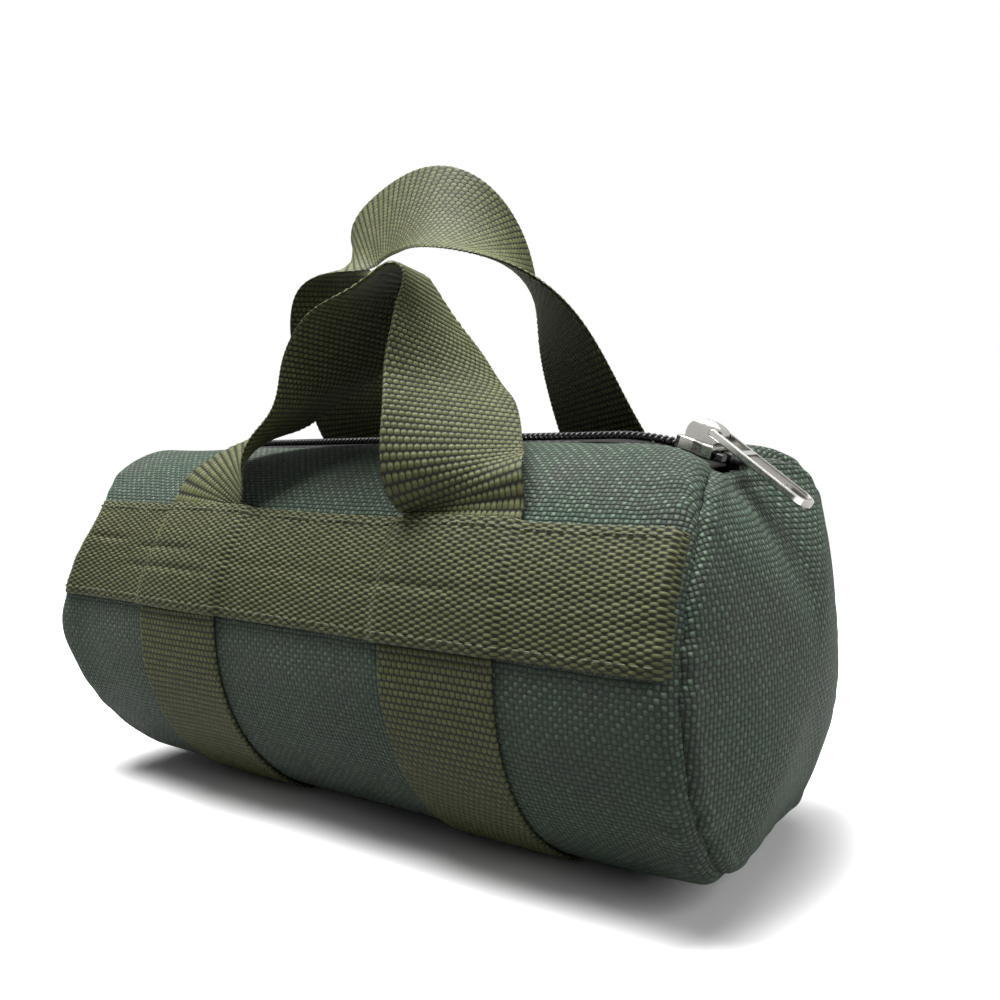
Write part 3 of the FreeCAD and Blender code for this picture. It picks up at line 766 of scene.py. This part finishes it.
fold = {
    "angle": 42.7, "lead": 14.0, "leadEnd": 0.6, "leadSteps": 20,  # the part that runs down under the band
    "steps": 301, "spacing": 0.25, "smooth": 2.2, "window": 32, "blendFrom": -3, "blendTo": 5,
}
handles = {  # stations along each loop: the middle of the strap, and the way its width points
    "front": {
        "facing": frontSide,
        "path": [(49, -41.6, 92.3), (46.1, -43, 101.5), (40.5, -35.9, 114), (33.4, -28.6, 123.4),
                 (27, -23, 133.7), (20.8, -20.8, 144.9), (16.1, -22.9, 154.7), (9.7, -25.5, 149.1),
                 (-3.2, -25.3, 138), (-16.8, -25, 125.5), (-28.6, -28.5, 113.6), (-40.9, -34.5, 104.6),
                 (-49, -41.6, 92.3)],
        "wide": [(1, 0, 0), (0.84, 0.54, 0.04), (0.51, 0.86, 0.1), (0.15, 0.97, 0.18), (-0.18, 0.95, 0.25),
                 (-0.44, 0.86, 0.25), (-0.59, 0.8, 0.11), (-0.53, 0.8, -0.28), (-0.43, 0.7, -0.57),
                 (-0.55, 0.61, -0.57), (-0.79, 0.48, -0.37), (-0.94, 0.29, -0.17), (-1, 0, 0)]},
    "rear": {
        "facing": rearSide,
        "path": [(44, 41.6, 92.3), (38.1, 31.5, 116.1), (30.1, 25.7, 140.5), (16.9, 21.9, 161.2),
                 (0.7, 18.6, 175.8), (-16.4, 17.2, 181.9), (-32.7, 16.1, 177.7), (-43.9, 14, 166.5),
                 (-50.5, 16.1, 150.2), (-56.3, 21.6, 132.2), (-58.4, 29.1, 112.4), (-54, 41.6, 92.3)],
        "wide": [(1, 0, 0), (0.95, -0.19, -0.24), (0.82, -0.33, -0.46), (0.64, -0.43, -0.63),
                 (0.44, -0.48, -0.76), (0.22, -0.49, -0.84), (-0.01, -0.46, -0.89), (-0.27, -0.35, -0.9),
                 (-0.55, -0.19, -0.81), (-0.81, -0.02, -0.58), (-0.96, 0.05, -0.28), (-1, 0, 0)]},
}


def splineThrough(stations, count):  # a natural cubic spline
    values = np.array(stations, float)
    last = len(values) - 1
    system = 4 * np.eye(last - 1) + np.eye(last - 1, k=1) + np.eye(last - 1, k=-1)
    bend = np.zeros_like(values)
    bend[1:-1] = np.linalg.solve(system, 6 * (values[2:] - 2 * values[1:-1] + values[:-2]))
    place = np.linspace(0, last, count)
    i = np.minimum(place.astype(int), last - 1)
    f = (place - i)[:, None]
    straight = (1 - f) * values[i] + f * values[i + 1]
    return straight + ((1 - f) ** 3 - 1 + f) * bend[i] / 6 + (f ** 3 - f) * bend[i + 1] / 6


def sampled(places, run, values):
    return np.stack([np.interp(places, run, values[:, i]) for i in range(3)], axis=-1)


def smoothed(values):
    window = fold["window"]
    weight = np.exp(-0.5 * (np.arange(-window, window + 1) * fold["spacing"] / fold["smooth"]) ** 2)
    weight /= weight.sum()
    padded = [np.pad(values[:, i], window, "reflect", reflect_type="odd") for i in range(3)]
    return np.stack([np.convolve(column, weight, "valid") for column in padded], axis=-1)


def handlePath(handle):
    facing, slope = handle["facing"], math.radians(fold["angle"])
    path = splineThrough(handle["path"], fold["steps"])
    wide = unit(splineThrough(handle["wide"], fold["steps"]))
    rootShift = [(path[0, 0] + path[-1, 0]) / 2, 0, 0]
    lead = math.pi / 2 - slope + np.linspace(fold["lead"], fold["leadEnd"], fold["leadSteps"]) / radius
    underBand = np.full_like(lead, strap["lift"] + webbing["thickness"] / 2)
    leadPath = skin(lead, np.full_like(lead, strap["spacing"] / 2), underBand)
    leadPath[:, 1] *= -facing
    leadWide = np.tile([1.0, 0, 0], (len(lead), 1))
    path = np.concatenate([leadPath + rootShift, path, (leadPath * [-1, 1, 1])[::-1] + rootShift])
    wide = np.concatenate([leadWide, wide, -leadWide])
    run = runLength(path)
    even = np.arange(0, run[-1], fold["spacing"])
    path, wide = [smoothed(sampled(even, run, values)) for values in (path, wide)]
    along = unit(np.gradient(path, axis=0))
    wide = unit(wide - along * (wide * along).sum(axis=1, keepdims=True))
    out = np.cross(along, wide) * facing
    return runLength(path), path, wide, out


def handlePlace(run, path, wide, out):
    def place(s, w, h):
        height = (h - webbing["thickness"] / 2)[:, None]
        return sampled(s, run, path) + sampled(s, run, wide) * w[:, None] + sampled(s, run, out) * height
    return place


for label, loop in handles.items():
    run, path, wide, out = handlePath(loop)
    handle = webbingPiece(label + "HandleWebbing", run[-1], handlePlace(run, path, wide, out), True)
    bendPlaces = [fold["lead"] + fold[key] for key in ("blendFrom", "blendTo")]
    below, above = [path[np.searchsorted(run, place)] * mm for place in bendPlaces]
    below[0] = above[0] = 0
    tuple(below)
    tuple(above)
    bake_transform(handle)
    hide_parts(label + "_handle")
    print("stage:", label, "handle", round(run[-1]), "mm of webbing")

zipper = {
    "top": boxOf("front_zipper_tape")[1][2],
    "bendStart": 66.0, "bend": 0.00677, "bendEnd": 90.0, "end": 96.0,  # the line of the track
    "tapeInner": 1.0, "tapeOuter": 11.0, "tapeOver": 2.5, "tapeDroop": 0.6, "tapeThickness": 0.6,
    "tapeCells": (8, 120), "pitch": 1.7, "wire": 0.38,
    "loopCentre": 1.05, "loopHalf": 1.55, "loopHeight": 0.72, "coilRise": 1.0,
    "wireCells": 6, "turnCells": 12, "tailStart": 84.0, "tailSpread": 1.5, "tailGap": 0.3,
    "partFrom": -84.0, "coilKeep": 0.96, "tapeKeep": 0.545, "coilAnchor": 112.5,  # how far the rows part
}


def trackZ(x):
    past = np.clip(np.abs(x) - zipper["bendStart"], 0, zipper["bendEnd"] - zipper["bendStart"])
    beyond = np.maximum(np.abs(x) - zipper["bendEnd"], 0)
    slope = 2 * zipper["bend"] * (zipper["bendEnd"] - zipper["bendStart"])
    return zipper["top"] - zipper["bend"] * past ** 2 - slope * beyond


def tailOut(x):  # the open ends of the rows spread past the slider
    return zipper["tailSpread"] * ease(x, zipper["tailStart"], zipper["end"])


def tapeShape(facing):
    def shape(a, b):
        x = (2 * b - 1) * (zipper["end"] + zipper["tapeOver"])
        y = zipper["tapeInner"] + a * (zipper["tapeOuter"] - zipper["tapeInner"])
        points = np.stack([x, facing * (y + tailOut(x)), trackZ(x) - zipper["tapeDroop"] * a * a], axis=-1)
        return points, clothPlace(y * 2, x * 2)  # a weave half as coarse as the canvas
    return shape


def coilPiece(name, facing, start, stop):  # one wire wound into flat loops
    turns = (stop - start) / zipper["pitch"]
    firstTurn = 0.5 if facing == rearSide else 0

    def shape(a, b):
        angle = fullTurn * (b * turns + firstTurn)

        def centre(q):
            x = start + (stop - start) * b + zipper["pitch"] * (q - angle) / fullTurn
            y = facing * (zipper["loopCentre"] + zipper["loopHalf"] * np.cos(q))
            return np.stack([x, y, zipper["coilRise"] + zipper["loopHeight"] * np.sin(q)], axis=-1)

        middle, along = centre(angle), unit(centre(angle + 0.01) - centre(angle - 0.01))
        side = unit(np.cross(along, [1.0, 0, 0]))
        lift = np.cross(along, side)
        around = fullTurn * a[:, None]
        points = middle + zipper["wire"] * (np.cos(around) * side + np.sin(around) * lift)
        points[:, 2] += trackZ(middle[:, 0])
        points[:, 1] += facing * tailOut(middle[:, 0])
        return points, np.zeros_like(points)

    cells = int(turns * zipper["turnCells"])
    return shapedGrid(name, zipper["wireCells"], cells, shape, blackNylon, closed=True)


for facing, label in bagFaces:
    tape = shapedGrid(label + "TapeCloth", *zipper["tapeCells"], tapeShape(facing), blackTape)
    thicken(tape, zipper["tapeThickness"])
    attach(tape, "bag")
    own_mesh(tape)
    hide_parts(label + "_zipper_tape")
    coil = coilPiece(label + "CoilWire", facing, zipper["partFrom"], zipper["end"])
    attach(coil, "bag")
    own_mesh(coil)
    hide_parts(label + "_zipper_coil")
    rest = coilPiece(label + "CoilTail", facing, -zipper["end"], zipper["partFrom"] - zipper["tailGap"])
    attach(rest, "bag")
zipperMetals = {
    "slider_body": sliderMetal, "slider_crown": sliderMetal, "zipper_pull": pullMetal,
    "slider_lock_spring": springSteel, "zipper_top_stops": stopMetal, "zipper_bottom_stop": stopMetal,
}
for node, material in zipperMetals.items():
    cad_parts[node].data.materials.clear()
    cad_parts[node].data.materials.append(material)
print("stage: zipper made")

studio = {
    "floorSeen": (0.9, 0.9, 0.9, 1), "floorBounce": (0.05, 0.05, 0.05, 1),
    "floorRadius": 4.0, "floorSides": 96,
    "whiteFrom": 0.3, "whiteTo": 0.75, "worldLight": 0.02, "worldSeen": 1.0, "aim": (0.02, 0, 0.06),
    "key": {"place": (-0.2, -0.2, 1.25), "size": 0.7, "power": 43.0},
    "fill": {"place": (1.1, -0.3, 0.7), "size": 0.8, "power": 9.5},
    "top": {"place": (0.1, 0.2, 1.2), "size": 0.7, "power": 12.0},
}


def directRay(tree):  # what the camera sees, also in metal
    seen = tree.nodes.new("ShaderNodeLightPath").outputs
    mirrored = calc(tree, "MAXIMUM", seen["Is Glossy Ray"], seen["Is Transmission Ray"])
    return calc(tree, "MAXIMUM", seen["Is Camera Ray"], mirrored)


def makeFloor():
    material, tree, shader = newMaterial("paleFloor", **{"Roughness": 0.9})
    direct = directRay(tree)
    wire(tree, shader.inputs["Base Color"], mixed(tree, direct, studio["floorBounce"], studio["floorSeen"]))
    where = tree.nodes.new("ShaderNodeVectorMath")
    where.operation = "LENGTH"
    tree.links.new(objectPlace(tree), where.inputs[0])
    white = spanned(tree, where.outputs["Value"], studio["whiteFrom"], studio["whiteTo"])
    glow, both = tree.nodes.new("ShaderNodeEmission"), tree.nodes.new("ShaderNodeMixShader")
    tree.links.new(calc(tree, "MULTIPLY", white, direct), both.inputs[0])  # fades to white away from the bag
    tree.links.new(shader.outputs[0], both.inputs[1])
    tree.links.new(glow.outputs[0], both.inputs[2])
    tree.links.new(both.outputs[0], tree.nodes["Material Output"].inputs["Surface"])
    bm = bmesh.new()
    bmesh.ops.create_circle(bm, cap_ends=True, radius=studio["floorRadius"], segments=studio["floorSides"])
    finishMesh("paleFloor", bm, material)


def makeLight(name, settings):
    lamp = bpy.data.lights.new(name, "AREA")
    lamp.size, lamp.energy = settings["size"], settings["power"]
    holder = bpy.data.objects.new(name, lamp)
    holder.location = settings["place"]
    aim = Vector(studio["aim"]) - Vector(settings["place"])
    holder.rotation_euler = aim.to_track_quat("-Z", "Y").to_euler()
    bpy.context.scene.collection.objects.link(holder)


def makeWorld():
    world = bpy.data.worlds.new("studio")
    bpy.context.scene.world = world
    world.use_nodes = True
    tree = world.node_tree
    seenMore = studio["worldSeen"] - studio["worldLight"]
    strength = calc(tree, "MULTIPLY_ADD", directRay(tree), seenMore, studio["worldLight"])
    back = tree.nodes["Background"]
    back.inputs["Color"].default_value = (1, 1, 1, 1)
    tree.links.new(strength, back.inputs["Strength"])


camera = {
    "focal": 37.28, "sensor": 36.0, "azimuth": 37.37, "elevation": 3.3, "roll": -1.25,  # the photo's view
    "distance": 295.86, "target": (27.53, 0.0, 90.24), "clip": (0.01, 50),
}


def makeCamera():
    turn, rise, roll = [math.radians(camera[key]) for key in ("azimuth", "elevation", "roll")]
    back = Vector((math.sin(turn) * math.cos(rise), -math.cos(turn) * math.cos(rise), math.sin(rise)))
    right = Vector((math.cos(turn), math.sin(turn), 0))
    up = back.cross(right)
    rolledRight = right * math.cos(roll) + up * math.sin(roll)
    rolledUp = up * math.cos(roll) - right * math.sin(roll)
    lens = bpy.data.cameras.new("photoCamera")
    lens.lens, lens.sensor_width = camera["focal"], camera["sensor"]
    lens.clip_start, lens.clip_end = camera["clip"]
    holder = bpy.data.objects.new("photoCamera", lens)
    turned = Matrix((rolledRight, rolledUp, back)).transposed().to_4x4()
    spot = (Vector(camera["target"]) + back * camera["distance"]) * mm
    holder.matrix_world = Matrix.Translation(spot) @ turned
    bpy.context.scene.collection.objects.link(holder)
    bpy.context.scene.camera = holder


makeFloor()
for name in ("key", "fill", "top"):
    makeLight(name, studio[name])
makeWorld()
makeCamera()
bpy.context.scene.view_settings.view_transform = "Standard"
print("stage: studio made")
